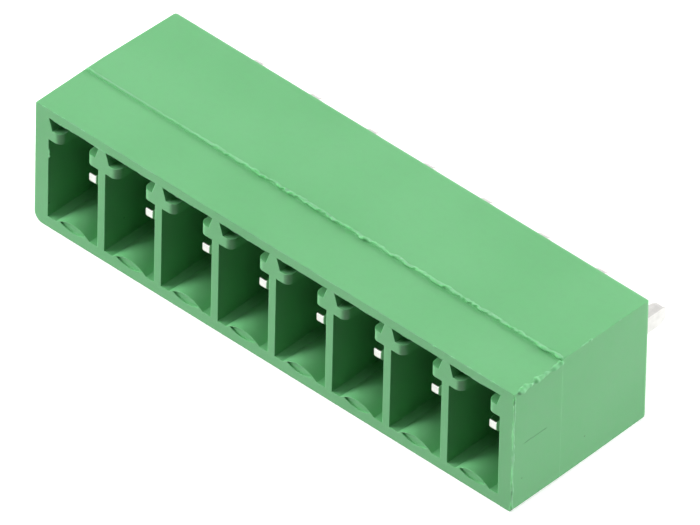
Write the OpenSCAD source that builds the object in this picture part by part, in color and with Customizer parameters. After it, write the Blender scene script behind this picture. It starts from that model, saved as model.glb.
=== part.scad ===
// Pluggable terminal block: the straight board header that a screw plug pushes
// into. One moulded housing with a row of cavities, and one tinned contact pin
// for each pole that runs from its cavity, through the back wall, to the board.
//
// The header lies on its long flat side. X runs along the row, Y from the
// mouth to the solder pins, Z up. The origin is the middle of the footprint.

/* [Row] */
// Number of poles
poles = 8; // [2:1:16]
// Distance from one pole to the next
pitch = 3.5; // [3.3:0.01:5.08]
// From the last pole's axis to the outside of the end wall
end_margin = 2.35; // [2.0:0.01:4.0]

/* [Housing] */
// Depth of the housing, from the mouth to the board face
body_d = 9.2; // [7.5:0.1:14]
// Height of the housing at the mouth, as it lies
collar_h = 6.86; // [6.2:0.01:9.5]
// Length of the front part, from the mouth to the step
collar_d = 3.2; // [1.5:0.05:5]
// Rise of the upper face at the step
step_h = 0.08; // [0.02:0.01:0.3]
// How far the end walls stand back behind the step
step_end = 0.04; // [0.01:0.01:0.2]
// Draft: fall of the upper face between the step and the board face
draft_top = 0.16; // [0.02:0.01:0.4]
// Draft: how far each end wall leans in on the same way
draft_end = 0.11; // [0.02:0.01:0.4]
// Radius of the edges around the board face
edge_r = 0.3; // [0.1:0.01:0.6]
// Radius of the long outer corners
corner_r = 0.15; // [0.05:0.01:0.3]
// Radius of the lower left outer corner
keel_r = 0.5; // [0.1:0.01:0.7]

/* [Walls] */
// Thickness of the wall between two cavities
partition_t = 0.42; // [0.3:0.01:1]
// Thickness of the lower long wall
floor_t = 0.6; // [0.4:0.01:1]
// Thickness of the upper long wall at the mouth
roof_t = 0.48; // [0.4:0.01:1]
// Thickness of the back wall that holds the pins
back_t = 2.0; // [1.2:0.1:3]

/* [Plug guides] */
// Gap between the upper wall and the guide ears
ear_gap = 0.67; // [0.4:0.01:1.2]
// Thickness of a guide ear
ear_t = 0.58; // [0.3:0.01:0.9]
// Reach of a guide ear from its wall
ear_reach = 0.76; // [0.4:0.01:1.0]
// Radius that leads the plug in at the front corner of an ear
ear_r = 0.36; // [0.1:0.01:0.4]
// Spread of the wall between the roof and the ear
ear_flare = 0.22; // [0.02:0.01:0.35]
// Height of the rounded rib on the cavity floor
rib_h = 0.39; // [0.1:0.01:0.7]
// Width of the rounded rib at its foot
rib_w = 2.06; // [1:0.01:2.6]
// Depth of the eye-shaped dimple in the rib's front end
dimple_d = 0.1; // [0.02:0.01:0.2]
// How far the dimple dips into the front of the floor
dimple_drop = 0.1; // [0.02:0.01:0.2]

/* [Contact pins] */
// Thickness of a pin along the row
pin_t = 0.6; // [0.4:0.01:0.9]
// Width of a pin across the row
pin_w = 1.0; // [0.5:0.01:1.2]
// Height of the pin row above the lower face
pin_z = 2.83; // [1.8:0.01:4]
// Length of the solder pins beyond the board face
pin_out = 3.2; // [2.5:0.05:5]
// Distance from the mouth to the contact tips
pin_recess = 1.28; // [0.5:0.01:3]
// Length of the tapered contact tip
nose_l = 0.5; // [0.2:0.01:1]
// Width of the contact tip's flat end, as a share of the pin
nose_share = 0.24; // [0.1:0.01:0.8]
// Length of the tapered solder tip
tail_l = 0.55; // [0.2:0.01:1]
// Width of the solder tip's flat end, as a share of the pin
tail_share = 0.46; // [0.1:0.01:0.8]
// Thickness of both flat ends, as a share of the pin
end_share = 0.6; // [0.2:0.01:0.8]
// Clearance of a pin in the back wall, on each side
pin_fit = 0.02; // [0.005:0.005:0.05]

/* [Hidden] */
$fn = 48;
e = 0.01;

row_l = (poles - 1) * pitch;
body_l = row_l + 2 * end_margin;
cav_w = pitch - partition_t;
cav_d = body_d - back_t;
body_h = collar_h + step_h;
half_l = body_l / 2;
rear_d = body_d - collar_d;
rear_w = half_l - step_end;
mid_z = body_h / 2;
roof_z = collar_h - roof_t;
ear_top = roof_z - ear_gap;
// the rib is a slice of a round bar whose axis lies below the floor
rib_r = (rib_w * rib_w / 4 + rib_h * rib_h) / (2 * rib_h);
rib_axis = floor_t + rib_h - rib_r;
// the origin is under the middle of housing and solder pins together
y_mouth = -(body_d + pin_out) / 2;
function pole_x(k) = (k - (poles + 1) / 2) * pitch;

// A rectangle from (x0, z0) to (x1, z1) with the radii r in its four corners:
// lower left, lower right, upper right, upper left.
module round_rect(x0, z0, x1, z1, r) {
    polygon([[x0 + r[0], z0], [x1 - r[1], z0], [x1 - r[1], z0 + r[1]], [x1, z0 + r[1]],
             [x1, z1 - r[2]], [x1 - r[2], z1 - r[2]], [x1 - r[2], z1], [x0 + r[3], z1],
             [x0 + r[3], z1 - r[3]], [x0, z1 - r[3]], [x0, z0 + r[0]],
             [x0 + r[0], z0 + r[0]]]);
    translate([x0 + r[0], z0 + r[0]]) circle(r = r[0]);
    translate([x1 - r[1], z0 + r[1]]) circle(r = r[1]);
    translate([x1 - r[2], z1 - r[2]]) circle(r = r[2]);
    translate([x0 + r[3], z1 - r[3]]) circle(r = r[3]);
}

// Point i of 0 to 6 on the rounded corner of a drafted outline. The outline is
// d long, w0 wide at its start and w1 at its end; r is the corner's radius.
function corner_pt(d, w0, w1, r, i) =
    let (lean = atan((w0 - w1) / d), cx = d - r, a = i / 6 * (90 - lean))
    [cx + r * cos(a), w0 - cx * tan(lean) - r / cos(lean) + r * sin(a)];

// The profile in x and z, carried along y from y0 for a length d.
module along_y(y0, d)
    translate([0, y0 + d, 0]) rotate([90, 0, 0]) linear_extrude(d) children();

// The profile in y and z, carried along x over the middle.
module along_x(l)
    translate([-l / 2, 0, 0]) rotate([90, 0, 90]) linear_extrude(l) children();

// The outside of the housing: the row's outline, its side outline with the
// step, and its plan, each carried right through the other two.
module outer_block() {
    intersection() {
        along_y(y_mouth - 1, body_d + 2)
            round_rect(-half_l, 0, half_l, body_h, [keel_r, corner_r, corner_r, corner_r]);
        along_x(body_l + 2) translate([y_mouth, 0]) side_outline();
        translate([0, 0, -1]) linear_extrude(body_h + 2)
            translate([0, y_mouth]) plan_outline();
    }
}

// The side outline in y and z: the collar, then the drafted part behind it.
module side_outline() {
    polygon(concat(
        [[0, 0]],
        [for (i = [6:-1:0]) let (p = corner_pt(rear_d, mid_z, mid_z, edge_r, i))
            [collar_d + p[0], mid_z - p[1]]],
        [for (i = [0:6]) let (p = corner_pt(rear_d, mid_z, mid_z - draft_top, edge_r, i))
            [collar_d + p[0], mid_z + p[1]]],
        [[collar_d, body_h], [collar_d, collar_h], [0, collar_h]]));
}

// The plan in x and y: the collar, then the part behind it whose ends lean in.
module plan_outline() {
    polygon(concat(
        [[-half_l, 0], [half_l, 0], [half_l, collar_d], [rear_w, collar_d]],
        [for (i = [6:-1:0]) let (p = corner_pt(rear_d, rear_w, rear_w - draft_end, edge_r, i))
            [p[1], collar_d + p[0]]],
        [for (i = [0:6]) let (p = corner_pt(rear_d, rear_w, rear_w - draft_end, edge_r, i))
            [-p[1], collar_d + p[0]]],
        [[-rear_w, collar_d], [-half_l, collar_d]]));
}

// The open profile of one cavity in x and z, with its walls flared under the roof.
module cavity_profile() {
    difference() {
        translate([-cav_w / 2, floor_t]) square([cav_w, roof_z - floor_t]);
        translate([0, rib_axis]) circle(r = rib_r, $fn = 96);
        for (side = [-1, 1]) scale([side, 1]) polygon([
            [cav_w / 2 + e, roof_z + e], [cav_w / 2, roof_z],
            [cav_w / 2 - ear_flare, ear_top], [cav_w / 2 - ear_flare, ear_top - ear_t / 2],
            [cav_w / 2 + e, ear_top - ear_t / 2]]);
    }
}

// The two guide ears of one cavity: flat plates that stand in from the walls,
// with the front corner rounded in plan to lead the plug in.
module ears() {
    for (side = [-1, 1]) scale([side, 1, 1])
        translate([cav_w / 2 - ear_reach, y_mouth, ear_top - ear_t]) linear_extrude(ear_t) {
            translate([ear_r, 0]) square([ear_reach - ear_r + e, cav_d + e]);
            translate([0, ear_r]) square([ear_r + e, cav_d - ear_r + e]);
            translate([ear_r, ear_r]) circle(r = ear_r);
        }
}

// One open cavity, from the mouth to the back wall.
module cavity() {
    difference() {
        along_y(y_mouth - e, cav_d + e) cavity_profile();
        ears();
    }
}

// The eye-shaped dimple that the rib's front end carries.
module rib_dimple() {
    along_y(y_mouth - e, dimple_d + e) intersection() {
        translate([0, rib_axis]) circle(r = rib_r - 0.04, $fn = 96);
        translate([0, floor_t - dimple_drop + rib_r]) circle(r = rib_r, $fn = 96);
    }
}

// A bar along y from y0 to y1 with both ends tapered on all four sides.
module pin_bar(y0, y1) {
    intersection() {
        translate([0, 0, -pin_w]) linear_extrude(2 * pin_w)
            pin_outline(y0, y1, pin_t / 2, end_share, end_share);
        rotate([0, 90, 0]) translate([0, 0, -pin_w]) linear_extrude(2 * pin_w)
            pin_outline(y0, y1, pin_w / 2, nose_share, tail_share);
    }
}

// A strip of half width h whose nose and tail narrow to a share of it.
module pin_outline(y0, y1, h, nose, tail)
    polygon([[-h, y0 + nose_l], [-h * nose, y0], [h * nose, y0], [h, y0 + nose_l],
             [h, y1 - tail_l], [h * tail, y1], [-h * tail, y1], [-h, y1 - tail_l]]);

module housing() {
    color("#79c586") difference() {
        outer_block();
        for (k = [1:poles]) translate([pole_x(k), 0, 0]) {
            cavity();
            rib_dimple();
            // hole for the pin through the back wall
            translate([-pin_t / 2 - pin_fit, y_mouth + cav_d - e, pin_z - pin_w / 2 - pin_fit])
                cube([pin_t + 2 * pin_fit, back_t + 2 * e, pin_w + 2 * pin_fit]);
        }
    }
}

module contact_pin(k) {
    color("#c9c9c6") translate([pole_x(k), 0, pin_z])
        pin_bar(y_mouth + pin_recess, y_mouth + body_d + pin_out);
}

module pin_1() { contact_pin(1); }
module pin_2() { contact_pin(2); }
module pin_3() { contact_pin(3); }
module pin_4() { contact_pin(4); }
module pin_5() { contact_pin(5); }
module pin_6() { contact_pin(6); }
module pin_7() { contact_pin(7); }
module pin_8() { contact_pin(8); }

housing();
pin_1();
pin_2();
pin_3();
pin_4();
pin_5();
pin_6();
pin_7();
pin_8();
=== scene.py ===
# %% [markdown]
# The object is the board half of a pluggable terminal block: a straight pin
# header. One green moulded housing holds a row of cavities, and one tinned
# pin for each pole stands in its cavity and leaves through the back wall to be
# soldered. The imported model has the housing's true shape, so this lesson adds
# what making and handling leave behind: the finish of both materials, coined
# ends on the pins, and the thin flash where the parts of the mould met.

import math

import bpy
import numpy as np
from mathutils import Matrix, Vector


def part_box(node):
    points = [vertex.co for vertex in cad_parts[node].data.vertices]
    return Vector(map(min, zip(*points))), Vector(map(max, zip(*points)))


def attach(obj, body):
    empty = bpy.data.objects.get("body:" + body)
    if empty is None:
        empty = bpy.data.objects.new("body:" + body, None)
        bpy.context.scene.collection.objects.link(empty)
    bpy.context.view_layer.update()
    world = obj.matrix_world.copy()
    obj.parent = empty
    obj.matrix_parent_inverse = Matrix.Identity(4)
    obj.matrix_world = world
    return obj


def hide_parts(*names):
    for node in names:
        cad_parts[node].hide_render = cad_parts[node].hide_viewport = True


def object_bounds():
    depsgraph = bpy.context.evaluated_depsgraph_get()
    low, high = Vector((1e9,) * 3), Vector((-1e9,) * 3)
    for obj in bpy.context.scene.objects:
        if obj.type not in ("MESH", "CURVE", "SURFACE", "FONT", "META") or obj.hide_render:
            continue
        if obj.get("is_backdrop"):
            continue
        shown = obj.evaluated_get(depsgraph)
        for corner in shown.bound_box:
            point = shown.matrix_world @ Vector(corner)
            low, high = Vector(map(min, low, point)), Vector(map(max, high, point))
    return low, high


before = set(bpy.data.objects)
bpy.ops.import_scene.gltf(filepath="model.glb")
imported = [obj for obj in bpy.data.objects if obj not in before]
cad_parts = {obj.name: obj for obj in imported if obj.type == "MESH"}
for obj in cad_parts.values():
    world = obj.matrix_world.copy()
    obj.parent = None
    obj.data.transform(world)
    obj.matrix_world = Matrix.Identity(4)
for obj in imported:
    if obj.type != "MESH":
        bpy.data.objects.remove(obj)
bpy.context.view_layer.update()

# %% [markdown]
# Everything is in metres, while the real part is drawn in millimetres. One
# constant turns one into the other, and the planes that carry an edge are
# found from the housing's own box: the mouth, the step behind the front part,
# the upper face behind the step and the slightly lower one before it.

# %% Sizes
MM = 0.001
HOUSING_LOW, HOUSING_HIGH = (np.array(corner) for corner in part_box("housing"))
COLLAR_DEPTH = 3.2 * MM
STEP_DROP = 0.08 * MM
MOUTH_Y = HOUSING_LOW[1]
STEP_Y = MOUTH_Y + COLLAR_DEPTH
TOP_Z = HOUSING_HIGH[2]
COLLAR_Z = TOP_Z - STEP_DROP
print("housing in mm:", np.round((HOUSING_HIGH - HOUSING_LOW) / MM, 3))

# %% [markdown]
# The view is a long lens from far away, a little to the right and well above
# the row, so that the long edges stay almost parallel. A camera in Blender
# looks along its own -Z axis, so its matrix is built from the three directions
# of the view: right, up and backwards.

# %% Camera
VIEW_RIGHT = np.array([0.732723, 0.680289, 0.017969])
VIEW_UP = np.array([-0.449125, 0.463566, 0.763801])
VIEW_BACK = np.array([0.511276, -0.567726, 0.645201])
CAMERA_AT = np.array([501.504, -557.935, 635.727]) * MM
SENSOR_WIDTH = 36.0
FOCAL_LENGTH = 1124.327
camera_data = bpy.data.cameras.new("camera")
camera_data.sensor_width = SENSOR_WIDTH
camera_data.lens = FOCAL_LENGTH
camera = bpy.data.objects.new("camera", camera_data)
bpy.context.scene.collection.objects.link(camera)
camera_matrix = Matrix.Identity(4)
for row in range(3):
    camera_matrix[row][0] = VIEW_RIGHT[row]
    camera_matrix[row][1] = VIEW_UP[row]
    camera_matrix[row][2] = VIEW_BACK[row]
    camera_matrix[row][3] = CAMERA_AT[row]
camera.matrix_world = camera_matrix
bpy.context.scene.camera = camera
print("camera at, in mm:", np.round(CAMERA_AT / MM, 1))

# %% [markdown]
# Colours are written as the hex values that a screen shows, and shaders want
# linear light. The standard curve between the two is applied to each channel.
# One more helper adds a shader node with its settings, values and wires, so
# that a material reads as a list of steps. The others stand on it: a colour
# ramp, a product of two colours, and cloudy noise whose patches have a real
# size in millimetres.

# %% Helpers for colour and nodes
# A mix node keeps its two colours in sockets 6 and 7 and gives its result in socket 2.
COLOUR_A = 6
COLOUR_B = 7
COLOUR_RESULT = 2


def linear(hex_colour):
    """Turns "#rrggbb" to linear RGBA: c/12.92 near black, else ((c+0.055)/1.055)^2.4."""
    c = np.array([int(hex_colour[i:i + 2], 16) for i in (1, 3, 5)]) / 255.0
    c = np.where(c <= 0.04045, c / 12.92, ((c + 0.055) / 1.055) ** 2.4)
    return (*c.tolist(), 1.0)


def add_node(tree, kind, settings=None, links=None, inputs=None):
    """Adds a node; settings are its own values, inputs its sockets' values, links its wires."""
    node = tree.nodes.new(kind)
    for name, value in (settings or {}).items():
        setattr(node, name, value)
    for name, value in (inputs or {}).items():
        node.inputs[name].default_value = value
    for name, socket in (links or {}).items():
        tree.links.new(socket, node.inputs[name])
    return node


def colour_ramp(tree, factor, stops):
    """A colour ramp over a factor, from a list of (place, colour)."""
    ramp = add_node(tree, "ShaderNodeValToRGB", links={"Fac": factor})
    band = ramp.color_ramp
    while len(band.elements) < len(stops):
        band.elements.new(0.5)
    for element, (place, colour) in zip(band.elements, stops):
        element.position = place
        element.color = colour
    return ramp.outputs["Color"]


def multiplied(tree, first, second):
    """The product of two colours, channel by channel."""
    mix = add_node(tree, "ShaderNodeMix", {"data_type": "RGBA", "blend_type": "MULTIPLY"},
                   links={COLOUR_A: first, COLOUR_B: second})
    mix.inputs["Factor"].default_value = 1.0
    return mix.outputs[COLOUR_RESULT]


def noise(tree, place, size, detail, roughness):
    """Cloudy noise from 0 to 1 whose patches are about `size` mm long."""
    clouds = add_node(tree, "ShaderNodeTexNoise", links={"Vector": place},
                      inputs={"Scale": 1 / (size * MM), "Detail": detail, "Roughness": roughness})
    return clouds.outputs["Fac"]


def spread(tree, value, from_low, from_high, to_low, to_high):
    """Carries the range from_low to from_high over to to_low to to_high, and stops at its ends."""
    moved = add_node(tree, "ShaderNodeMapRange", links={"Value": value},
                     inputs={"From Min": from_low, "From Max": from_high,
                             "To Min": to_low, "To Max": to_high})
    return moved.outputs["Result"]


def new_material(name):
    """An empty node material and the object coordinates that its patterns read."""
    material = bpy.data.materials.new(name)
    material.use_nodes = True
    material.node_tree.nodes.clear()
    place = add_node(material.node_tree, "ShaderNodeTexCoord").outputs["Object"]
    return material, material.node_tree, place


print("white is", linear("#ffffff"))

# %% [markdown]
# The housing is glass-filled polyamide, moulded in a spark-eroded steel mould.
# That gives a satin skin: the colour is even, highlights are broad, and a very
# fine grain of about 0.06 mm shows where light grazes. Glass fibre near the
# skin leaves faint cloudy flow marks some millimetres long, and here and there
# sits a burnt fleck of a tenth of a millimetre. Moulded edges are never quite
# sharp, so the shader rounds its normals over 0.02 mm. Where the rounded normal
# leaves the flat one it also paints the skin paler: a painted highlight along
# every edge, with a little pale wear in it. Polyamide is also a little milky:
# light wanders about a tenth of a millimetre inside it, green farther than red
# or blue, which makes thin flash glow.

# %% Green moulded polyamide
FLOW_SIZE = 7.0
SPECKLE_SIZE = 0.35
GRAIN_SIZE = 0.06
GRAIN_DEPTH = 0.004
FLECK_SPACING = 2.6
EDGE_ROUNDING = 0.02
LIGHT_REACH = 0.12
POLYAMIDE_IOR = 1.53


def moulded_polyamide(name, dark, light, milky):
    """Satin plastic: cloudy flow colour, burnt flecks, edges painted pale as highlight and a little
    wear, eroded grain as bump.
    """
    material, tree, place = new_material(name)
    flow = noise(tree, place, FLOW_SIZE, 2.0, 0.4)
    speckle = noise(tree, place, SPECKLE_SIZE, 2.0, 0.6)
    grain = noise(tree, place, GRAIN_SIZE, 1.0, 0.5)
    flecks = add_node(tree, "ShaderNodeTexVoronoi", links={"Vector": place},
                      inputs={"Scale": 1 / (FLECK_SPACING * MM), "Randomness": 1.0})

    cloudy = colour_ramp(tree, flow, [(0.35, linear(dark)), (0.65, linear(light))])
    specks = colour_ramp(tree, speckle, [(0.30, linear("#fafbfa")), (0.60, linear("#ffffff"))])
    burnt = colour_ramp(tree, flecks.outputs["Distance"],
                        [(0.008, linear("#a3b0a2")), (0.020, linear("#ffffff"))])
    skin_colour = multiplied(tree, multiplied(tree, cloudy, specks), burnt)

    rounded = add_node(tree, "ShaderNodeBevel", {"samples": 6}, inputs={"Radius": EDGE_ROUNDING * MM})
    flat = add_node(tree, "ShaderNodeNewGeometry")
    turned = add_node(tree, "ShaderNodeVectorMath", {"operation": "DOT_PRODUCT"},
                      links={0: rounded.outputs["Normal"], 1: flat.outputs["Normal"]})
    # Painted highlight, with a little pale wear: the skin is made paler along every edge, where the
    # rounded normal turns away from the flat one.
    edge_highlight_and_wear = spread(tree, turned.outputs["Value"], 0.98, 0.75, 0.0, 0.07)
    highlit_and_worn_skin = add_node(tree, "ShaderNodeMix", {"data_type": "RGBA"},
                    links={"Factor": edge_highlight_and_wear, COLOUR_A: skin_colour},
                    inputs={COLOUR_B: linear("#b4e2bb")})

    bump = add_node(tree, "ShaderNodeBump",
                    links={"Height": grain, "Normal": rounded.outputs["Normal"]},
                    inputs={"Strength": 0.25, "Distance": GRAIN_DEPTH * MM})
    skin = add_node(tree, "ShaderNodeBsdfPrincipled",
                    inputs={"IOR": POLYAMIDE_IOR, "Subsurface Weight": milky,
                            "Subsurface Radius": (0.7, 1.0, 0.7),
                            "Subsurface Scale": LIGHT_REACH * MM},
                    links={"Base Color": highlit_and_worn_skin.outputs[COLOUR_RESULT],
                           "Roughness": spread(tree, speckle, 0.3, 0.7, 0.42, 0.56),
                           "Normal": bump.outputs["Normal"]})
    add_node(tree, "ShaderNodeOutputMaterial", links={"Surface": skin.outputs["BSDF"]})
    return material


GREEN = moulded_polyamide("green_polyamide_spark_eroded", "#68ad75", "#6eb27b", 0.5)
print("made", GREEN.name)

# %% [markdown]
# The pins are stamped from brass strip and plated with bright tin. Tin is a
# pale warm-white metal: it mirrors, but softly, because the plating follows
# the fine lines that the stamping tool drew along the strip. The lines are
# noise of 0.05 mm that is stretched 25 times along the pin.

# %% Tin plating
LINE_SPACING = 0.05
LINE_STRETCH = 25
LINE_DEPTH = 0.001
CLOUD_SIZE = 0.5


def tin_plating():
    """Soft pale metal with fine drawn lines along the pin."""
    material, tree, place = new_material("tin_plated_brass")
    stretched = add_node(tree, "ShaderNodeMapping", links={"Vector": place},
                         inputs={"Scale": (1.0, 1 / LINE_STRETCH, 1.0)})
    lines = noise(tree, stretched.outputs["Vector"], LINE_SPACING, 2.0, 0.5)
    clouds = noise(tree, place, CLOUD_SIZE, 2.0, 0.5)
    colour = colour_ramp(tree, clouds, [(0.35, linear("#dcdad7")), (0.65, linear("#e6e4e1"))])
    bump = add_node(tree, "ShaderNodeBump", links={"Height": lines},
                    inputs={"Strength": 0.1, "Distance": LINE_DEPTH * MM})
    metal = add_node(tree, "ShaderNodeBsdfPrincipled", inputs={"Metallic": 1.0},
                     links={"Base Color": colour,
                            "Roughness": spread(tree, lines, 0.3, 0.7, 0.08, 0.16),
                            "Normal": bump.outputs["Normal"]})
    add_node(tree, "ShaderNodeOutputMaterial", links={"Surface": metal.outputs["BSDF"]})
    return material


TIN = tin_plating()
print("made", TIN.name)

# %% [markdown]
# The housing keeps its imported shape, since one moulding is all it is. It only
# gets the finish, and later the flash along its edges.

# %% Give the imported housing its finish
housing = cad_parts["housing"]
housing.data.materials.clear()
housing.data.materials.append(GREEN)
print("finished", housing.name)

# %% [markdown]
# A stamped pin is a bar of 0.6 by 1.0 mm whose edges are broken by tumbling in
# the plating bath. Its contact end is coined to flat bevels that leave a small
# front face, a little above the middle, and its solder end is drawn to a blunt
# round nose. Packed as a plain bar it would mirror like a ruler, so each pin is
# made again from rings of points. At every station along the pin the section
# is a rectangle with round corners. The stations give its half width and half
# height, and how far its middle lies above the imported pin's. The last one is
# 0.11 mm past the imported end, where the nose really stops.

# %% Pins with coined ends
def round_bar(stations, corner):
    """Rings for (y, half width, half height, lift) stations in mm. A ring is a rectangle
    with corners of the radius `corner`, or 0.8 of its smaller half size where that is
    less. It runs from +X to +Z: corner centre + radius * (cos t, sin t), with five angles
    t in each quarter turn, and its middle is raised by the lift."""
    stations = np.array(stations, float)
    y, wide, high, lift = (stations[:, k:k + 1] for k in range(4))
    radius = np.minimum(corner, 0.8 * np.minimum(wide, high))
    t = np.radians(np.arange(4)[:, None] * 90 + np.linspace(0, 90, 5)[None, :]).ravel()
    across = np.repeat([1, -1, -1, 1], 5)[None, :]
    up = np.repeat([1, 1, -1, -1], 5)[None, :]
    x = across * (wide - radius) + radius * np.cos(t)
    z = up * (high - radius) + radius * np.sin(t) + lift
    return np.stack([x, np.broadcast_to(y, x.shape), z], -1)


def closed_tube(name, rings):
    """Joins rings of points, an array of rings x points x 3 in mm, to a tube with both ends shut."""
    count, sides, _ = rings.shape
    ring = np.arange(count - 1)[:, None] * sides
    side = np.arange(sides)[None, :]
    after = (side + 1) % sides
    quads = np.stack([ring + side, ring + after, ring + sides + after, ring + sides + side], -1)
    first_end = list(range(sides - 1, -1, -1))
    last_end = list(range((count - 1) * sides, count * sides))
    faces = quads.reshape(-1, 4).tolist() + [first_end, last_end]
    mesh = bpy.data.meshes.new(name)
    mesh.from_pydata((rings.reshape(-1, 3) * MM).tolist(), [], faces)
    mesh.update()
    piece = bpy.data.objects.new(name, mesh)
    bpy.context.scene.collection.objects.link(piece)
    return piece


PIN_STATIONS = [
    (-4.92, 0.20, 0.22, 0.15),
    (-4.90, 0.22, 0.25, 0.14),
    (-4.60, 0.285, 0.46, 0.02),
    (-4.50, 0.30, 0.50, 0.0),
    (5.80, 0.30, 0.50, 0.0),
    (5.92, 0.295, 0.475, 0.0),
    (6.10, 0.275, 0.40, 0.0),
    (6.26, 0.25, 0.32, 0.0),
    (6.31, 0.21, 0.27, 0.0),
]
PIN_CORNER = 0.06
POLES = 8
bar = round_bar(PIN_STATIONS, PIN_CORNER)[:, ::-1]
for pole in range(1, POLES + 1):
    name = "pin_%d" % pole
    low, high = (np.array(corner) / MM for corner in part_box(name))
    middle = (low + high) / 2
    pin = closed_tube("plated_" + name, bar + np.array([middle[0], 0.0, middle[2]]))
    pin.data.materials.append(TIN)
    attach(pin, "root")
    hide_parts(name)
print(POLES, "pins with", len(PIN_STATIONS), "stations, middle height", middle[2].round(2), "mm")

# %% [markdown]
# Where two mould parts meet, a little plastic creeps between them and stays as
# flash: a ragged fin, here up to 0.15 mm high, along the step, round the right
# end of the front part and down its front edge. A bump map can't give it,
# because it casts a shadow and breaks the outline. So each run of flash is a
# thin closed tube along its edge, whose height, width and place wander by
# smooth random waves, with a few larger lumps where the edge was knocked.

# %% Waves, lumps and fins
def waves(along, spacing, seed):
    """Random values from -1 to 1, one every `spacing`, joined by half cosine steps."""
    at = (along - along.min()) / spacing
    low = np.floor(at).astype(int)
    values = np.random.default_rng(seed).uniform(-1.0, 1.0, low.max() + 2)
    part = (1 - np.cos(np.pi * (at - low))) / 2
    return values[low] * (1 - part) + values[low + 1] * part


def lumps(along, places, width):
    """A sum of bells exp(-(distance / width)^2), one for each (place, height)."""
    return sum(h * np.exp(-((along - p) / width) ** 2) for p, h in places)


FIN_SIDES = 12
TAPER_RINGS = 4
END_SHARE = 0.15
CREST_SLIMMING = 0.33


def flash_fin(name, path, rise, across, height, width, finish, lean=0.0):
    """A fin along a path of points in mm. Round its section an angle t runs from 0 to 360
    degrees: it stands rise * height * sin t high, or a third of that below its edge, and
    across * width / 2 * cos t wide, a third slimmer at the crest. The crest is moved
    against `across` by the share `lean` of half the width, which makes that side steep.
    Both ends taper, and the rings are turned round where the faces would point inwards."""
    t = np.linspace(0, 2 * np.pi, FIN_SIDES, endpoint=False)[None, :, None]
    up = np.where(np.sin(t) > 0, np.sin(t), np.sin(t) / 3)
    crest = np.maximum(np.sin(t), 0)
    wide = np.cos(t) * (1 - CREST_SLIMMING * crest) - lean * crest
    ring = np.arange(len(path))
    taper = np.clip(np.minimum(ring, ring[::-1]) / TAPER_RINGS + END_SHARE, 0, 1)
    height = (height * taper)[:, None, None]
    width = (width * taper)[:, None, None]
    rings = (path[:, None, :] + np.array(rise, float) * height * up
             + np.array(across, float) * width / 2 * wide)
    if np.dot(np.cross(across, rise), path[-1] - path[0]) < 0:
        rings = rings[:, ::-1]
    piece = closed_tube(name, rings)
    piece.data.materials.append(finish)
    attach(piece, "root")
    print(name, "reaches", np.round(rings.max((0, 1)), 2), "mm")
    return piece


def line(start, end, spacing=0.05):
    """Points from start to end in mm, about `spacing` apart, and their distance from the start."""
    start, end = np.array(start, float), np.array(end, float)
    span = np.linalg.norm(end - start)
    share = np.linspace(0, 1, int(span / spacing) + 2)
    return start + (end - start) * share[:, None], share * span


# Painted light: the flash gets a paler green than the housing, so that its sides look lit where the
# lamps leave them dark.
PALE_PAINTED_FLASH = moulded_polyamide("green_polyamide_flash_painted_paler", "#74b983", "#7dc18b", 1.0)
HALF_ROW = 14.6
MOUTH = MOUTH_Y / MM
STEP = STEP_Y / MM
REAR_TOP = TOP_Z / MM
COLLAR_TOP = COLLAR_Z / MM

# %% [markdown]
# The longest run lies on the rear edge of the step. It is a thin thread on the
# left and grows ragged from a quarter of the row on, so its wander, height and
# width are multiplied by a smooth ramp along the row. It leans to the front,
# where it ends in a steep side that throws the dark line before it.

# %% Flash along the step
LEFT_SHARE = 0.12
RAGGED_FROM = 7.0
RAMP_LENGTH = 1.5
ridge_y = STEP + 0.07
path, along = line((-HALF_ROW, ridge_y, REAR_TOP), (HALF_ROW - 0.06, ridge_y, REAR_TOP), 0.04)
ragged = LEFT_SHARE + (1 - LEFT_SHARE) / (1 + np.exp(-(along - RAGGED_FROM) / RAMP_LENGTH))
path[:, 1] += ragged * (0.04 * waves(along, 0.55, 3) + 0.04 * waves(along, 0.17, 4))
knocks = [(-14.35, 0.08), (-7.2, 0.03), (-4.1, 0.07), (-1.9, 0.05), (-0.2, 0.03),
          (1.7, 0.05), (2.6, 0.07), (4.4, 0.05), (7.4, 0.03), (13.4, 0.06)]
damage = lumps(path[:, 0], knocks, 0.16)
height = 0.012 + ragged * (0.05 + 0.025 * waves(along, 0.4, 5) + 0.03 * waves(along, 0.13, 6))
width = 0.07 + ragged * (0.12 + 0.05 * waves(along, 0.5, 7) + 0.04 * waves(along, 0.15, 8))
flash_fin("flash_step", path, (0, 0, 1), (0, 1, 0), height + damage, width + 0.8 * damage,
          PALE_PAINTED_FLASH, lean=0.7)

# %% [markdown]
# From the step the flash turns round the right end and follows the upper edge
# of the front part to the mouth. There the edge is chewed: the lumps are wider
# than they are high. The fin stands square to the edge, about 57 degrees up.

# %% Flash on the right end of the front part
OUTWARD = np.array([0.55, 0.0, 0.83])
SIDEWAYS = np.array([0.83, 0.0, -0.55])
path, along = line((HALF_ROW - 0.03, STEP + 0.06, COLLAR_TOP),
                   (HALF_ROW - 0.05, MOUTH + 0.15, COLLAR_TOP - 0.04))
path += OUTWARD * 0.015 * waves(along, 0.3, 11)[:, None]
path += SIDEWAYS * (0.03 + 0.04 * waves(along, 0.22, 14))[:, None]
knocks = [(0.10, 0.05), (0.55, 0.03), (1.15, 0.05), (1.75, 0.09), (2.15, 0.05),
          (2.45, 0.04), (2.7, 0.06), (2.9, 0.05)]
damage = lumps(along, knocks, 0.12)
height = 0.03 + 0.018 * waves(along, 0.17, 12) + damage
width = 0.17 + 0.07 * waves(along, 0.3, 13) + 1.6 * damage
flash_fin("flash_end_upper", path, OUTWARD, SIDEWAYS, height, width, PALE_PAINTED_FLASH)

# %% [markdown]
# Then it runs down the front edge of the right end to the bench, as a wavy seam
# that stands out sideways by a few hundredths of a millimetre.

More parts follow.
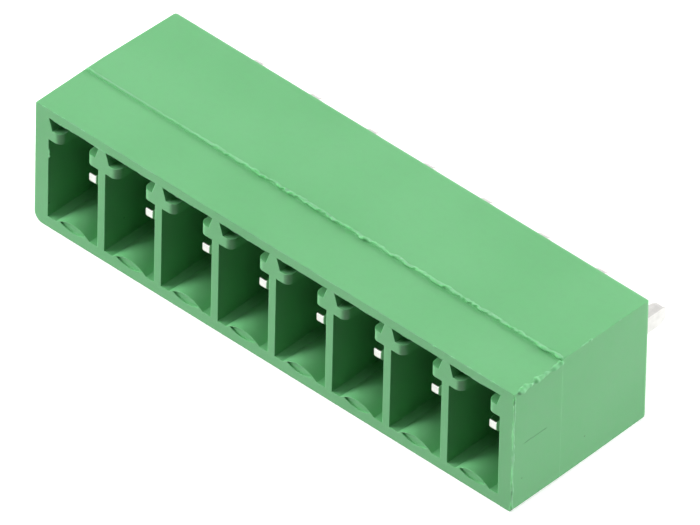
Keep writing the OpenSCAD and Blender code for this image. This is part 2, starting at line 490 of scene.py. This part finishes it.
# %% Flash down the right front edge
seam_y = MOUTH + 0.03
path, along = line((HALF_ROW, seam_y, COLLAR_TOP - 0.1), (HALF_ROW, seam_y, 0.10))
path[:, 1] += 0.03 * waves(along, 0.7, 21) + 0.025 * waves(along, 0.2, 22)
knocks = [(0.10, 0.05), (0.35, 0.04), (0.8, 0.03), (3.4, 0.02), (6.5, 0.05)]
damage = lumps(along, knocks, 0.13)
height = 0.028 + 0.012 * waves(along, 0.3, 23) + damage
width = 0.15 + 0.05 * waves(along, 0.25, 24) + damage
flash_fin("flash_end_front", path, (1, 0, 0), (0, 1, 0), height, width, PALE_PAINTED_FLASH)

# %% [markdown]
# The other edges carry only a thread of flash, a few hundredths of a
# millimetre thick, with single beads. They are the edge between the roof and
# the mouth, the lower edge of the roof over the cavities, the upper right edge
# of the rear part, which has nothing but beads, and the inner edge of the left
# end wall.

# %% Threads of flash on the other edges
path, along = line((-HALF_ROW + 0.15, MOUTH + 0.01, COLLAR_TOP - 0.01),
                   (HALF_ROW - 0.15, MOUTH + 0.01, COLLAR_TOP - 0.01))
knocks = [(-14.1, 0.05), (-13.4, 0.04), (-12.9, 0.05), (-11.7, 0.03), (9.8, 0.05),
          (10.9, 0.04), (11.9, 0.05), (12.5, 0.06), (13.3, 0.06)]
beads = lumps(path[:, 0], knocks, 0.09)
height = 0.012 + 0.006 * waves(along, 0.6, 31) + beads
flash_fin("flash_mouth_upper", path, (0, -0.4, 0.9), (0, 0.9, 0.4), height, 0.035 + beads, PALE_PAINTED_FLASH)

CAVITY_ROW = 13.6
ROOF_UNDER = COLLAR_TOP - 0.48
path, along = line((-CAVITY_ROW, MOUTH + 0.01, ROOF_UNDER), (CAVITY_ROW, MOUTH + 0.01, ROOF_UNDER))
thread = np.maximum(0.15 + waves(along, 0.8, 41) * 0.6 + waves(along, 0.25, 42) * 0.4, 0.0)
flash_fin("flash_mouth_lower", path, (0, -0.35, -0.93), (0, 0.93, -0.35),
          0.008 + 0.035 * thread, 0.04 + 0.02 * thread, PALE_PAINTED_FLASH)

path, along = line((HALF_ROW - 0.07, STEP + 0.1, REAR_TOP - 0.01),
                   (HALF_ROW - 0.14, 2.6, REAR_TOP - 0.16))
knocks = [(-1.1, 0.10), (-1.35, 0.05), (-1.6, 0.04), (0.9, 0.02)]
beads = lumps(path[:, 1], knocks, 0.11)
flash_fin("flash_rear_right", path, (0.3, 0, 0.95), (0.95, 0, -0.3),
          0.002 + beads, 0.01 + 1.4 * beads, PALE_PAINTED_FLASH)

LEFT_WALL_EDGE = -13.76
path, along = line((LEFT_WALL_EDGE, MOUTH + 0.02, 4.62), (LEFT_WALL_EDGE, MOUTH + 0.02, 4.02))
beads = lumps(along, [(0.2, 0.05), (0.45, 0.09)], 0.09)
flash_fin("flash_left_wall", path, (0.9, -0.3, 0), (0.3, 0.9, 0),
          0.03 + beads, np.full(len(along), 0.09), PALE_PAINTED_FLASH)

# %% [markdown]
# A short dark crease runs across the right end near the front, level with the
# bench. It is too shallow to cast a shadow, so its shade is painted: a sliver
# of plastic only 0.01 mm proud in a darker green that stands for the shade in
# the crease.

# %% Crease on the right end, its shade painted
# Painted shade: the crease gets a darker green that stands in for the shade in its groove.
CREASE_PAINTED_SHADE = moulded_polyamide("green_polyamide_crease_painted_shade", "#4f8f5e", "#599a68", 0.0)
CREASE_Z = 3.59
path, along = line((HALF_ROW, -5.5, CREASE_Z), (HALF_ROW, -3.9, CREASE_Z))
width = 0.05 + 0.02 * waves(along, 0.3, 61)
flash_fin("crease_right_end_painted_shade", path, (1, 0, 0), (0, 0, 1), np.full(len(along), 0.008), width, CREASE_PAINTED_SHADE)

# %% [markdown]
# A small satin thing is lit from its sides on a bench, with two softboxes that
# stand at opposite corners, and a weak one overhead. The raking light draws
# every burr, and it leaves the depth of the cavities dark, because it comes
# across their mouths. A strength of one stands for the light at which a colour
# shows as it is written: a lamp of radiant power P lights a surface that faces
# it from the distance d with P / (pi * d * d), so P = strength * pi^2 * d^2.
# The boxes are hidden from reflections, since at a low angle even a satin face
# would flare white with them.

# %% Softboxes
scene = bpy.context.scene
scene.view_settings.view_transform = "Standard"
LAMP_DISTANCE = 0.35


def softbox(name, azimuth, elevation, width, height, strength):
    """A lamp of width x height metres on a sphere round the header, turned to its middle.
    Azimuth and elevation are in degrees, the azimuth from +X towards +Y."""
    az, el = math.radians(azimuth), math.radians(elevation)
    back = np.array([math.cos(el) * math.cos(az), math.cos(el) * math.sin(az), math.sin(el)])
    right = np.array([-math.sin(az), math.cos(az), 0.0])
    data = bpy.data.lights.new(name, "AREA")
    data.shape = "RECTANGLE"
    data.size = width
    data.size_y = height
    data.energy = strength * math.pi ** 2 * LAMP_DISTANCE ** 2
    lamp = bpy.data.objects.new(name, data)
    scene.collection.objects.link(lamp)
    turn = np.eye(4)
    turn[:3, 0] = right
    turn[:3, 1] = np.cross(back, right)
    turn[:3, 2] = back
    turn[:3, 3] = back * LAMP_DISTANCE
    lamp.matrix_world = Matrix(turn.tolist())
    lamp.visible_glossy = False
    return lamp


softbox("softbox_left", 213, 17, 0.24, 0.20, 1.70)
softbox("softbox_right", 48, 17, 0.26, 0.20, 1.58)
softbox("softbox_above", 250, 80, 0.24, 0.24, 0.58)

# %% [markdown]
# The surroundings are white where the camera or a reflection sees them, and
# nearly dark for all other light, as in a dim room with a white table. A dark
# screen hangs in front, to the left and above, 18 to 35 degrees round its
# middle: only the bevels of the contact ends mirror it. The paper under the
# header is white in the same way and keeps its soft shadow.

# %% White surroundings and paper
world = bpy.data.worlds.new("white_room")
scene.world = world
world.use_nodes = True
world.node_tree.nodes.clear()


def seen_or_reflected(tree):
    """1 for light on its way to the camera, straight or by a reflection; else 0."""
    path = add_node(tree, "ShaderNodeLightPath")
    either = add_node(tree, "ShaderNodeMath", {"operation": "MAXIMUM"},
                      links={0: path.outputs["Is Camera Ray"], 1: path.outputs["Is Glossy Ray"]})
    return either.outputs["Value"]


def two_of(tree, factor, first, second):
    """The first shader where the factor is 0, the second where it is 1."""
    mix = add_node(tree, "ShaderNodeMixShader", links={"Fac": factor, 1: first, 2: second})
    return mix.outputs["Shader"]


WHITE = linear("#ffffff")
FILL_LIGHT = 0.01
SCREEN_WAY = (-0.59, -0.65, 0.48)
SCREEN_EDGE, SCREEN_CORE = 0.82, 0.95
SCREEN_LIGHT = 0.12
sky = world.node_tree
way = add_node(sky, "ShaderNodeTexCoord").outputs["Generated"]
toward = add_node(sky, "ShaderNodeVectorMath", {"operation": "DOT_PRODUCT"},
                  links={0: way}, inputs={1: SCREEN_WAY})
screened = spread(sky, toward.outputs["Value"], SCREEN_EDGE, SCREEN_CORE, 1.0, SCREEN_LIGHT)
fill = add_node(sky, "ShaderNodeBackground", inputs={"Color": WHITE, "Strength": FILL_LIGHT})
white = add_node(sky, "ShaderNodeBackground", inputs={"Color": WHITE}, links={"Strength": screened})
add_node(sky, "ShaderNodeOutputWorld",
         links={"Surface": two_of(sky, seen_or_reflected(sky),
                                  fill.outputs["Background"], white.outputs["Background"])})

PAPER_DARK = (0.08, 0.08, 0.08, 1.0)
PAPER_PALE = (0.80, 0.80, 0.80, 1.0)
PAPER_GLOW = 0.45
paper, tree, _ = new_material("white_paper")
grey = add_node(tree, "ShaderNodeBsdfDiffuse", inputs={"Color": PAPER_DARK})
pale = add_node(tree, "ShaderNodeBsdfDiffuse", inputs={"Color": PAPER_PALE})
glow = add_node(tree, "ShaderNodeEmission", inputs={"Color": WHITE, "Strength": PAPER_GLOW})
lit = add_node(tree, "ShaderNodeAddShader", links={0: pale.outputs["BSDF"], 1: glow.outputs["Emission"]})
add_node(tree, "ShaderNodeOutputMaterial",
         links={"Surface": two_of(tree, seen_or_reflected(tree),
                                  grey.outputs["BSDF"], lit.outputs["Shader"])})

HALF = 0.5
FLOOR_Z = -0.02 * MM
floor_mesh = bpy.data.meshes.new("floor")
floor_mesh.from_pydata([(-HALF, -HALF, FLOOR_Z), (HALF, -HALF, FLOOR_Z),
                        (HALF, HALF, FLOOR_Z), (-HALF, HALF, FLOOR_Z)], [], [(0, 1, 2, 3)])
floor_mesh.materials.append(paper)
floor = bpy.data.objects.new("floor", floor_mesh)
scene.collection.objects.link(floor)
floor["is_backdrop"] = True
print("floor and surroundings made")

# %% Bounds of the visual model
low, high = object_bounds()
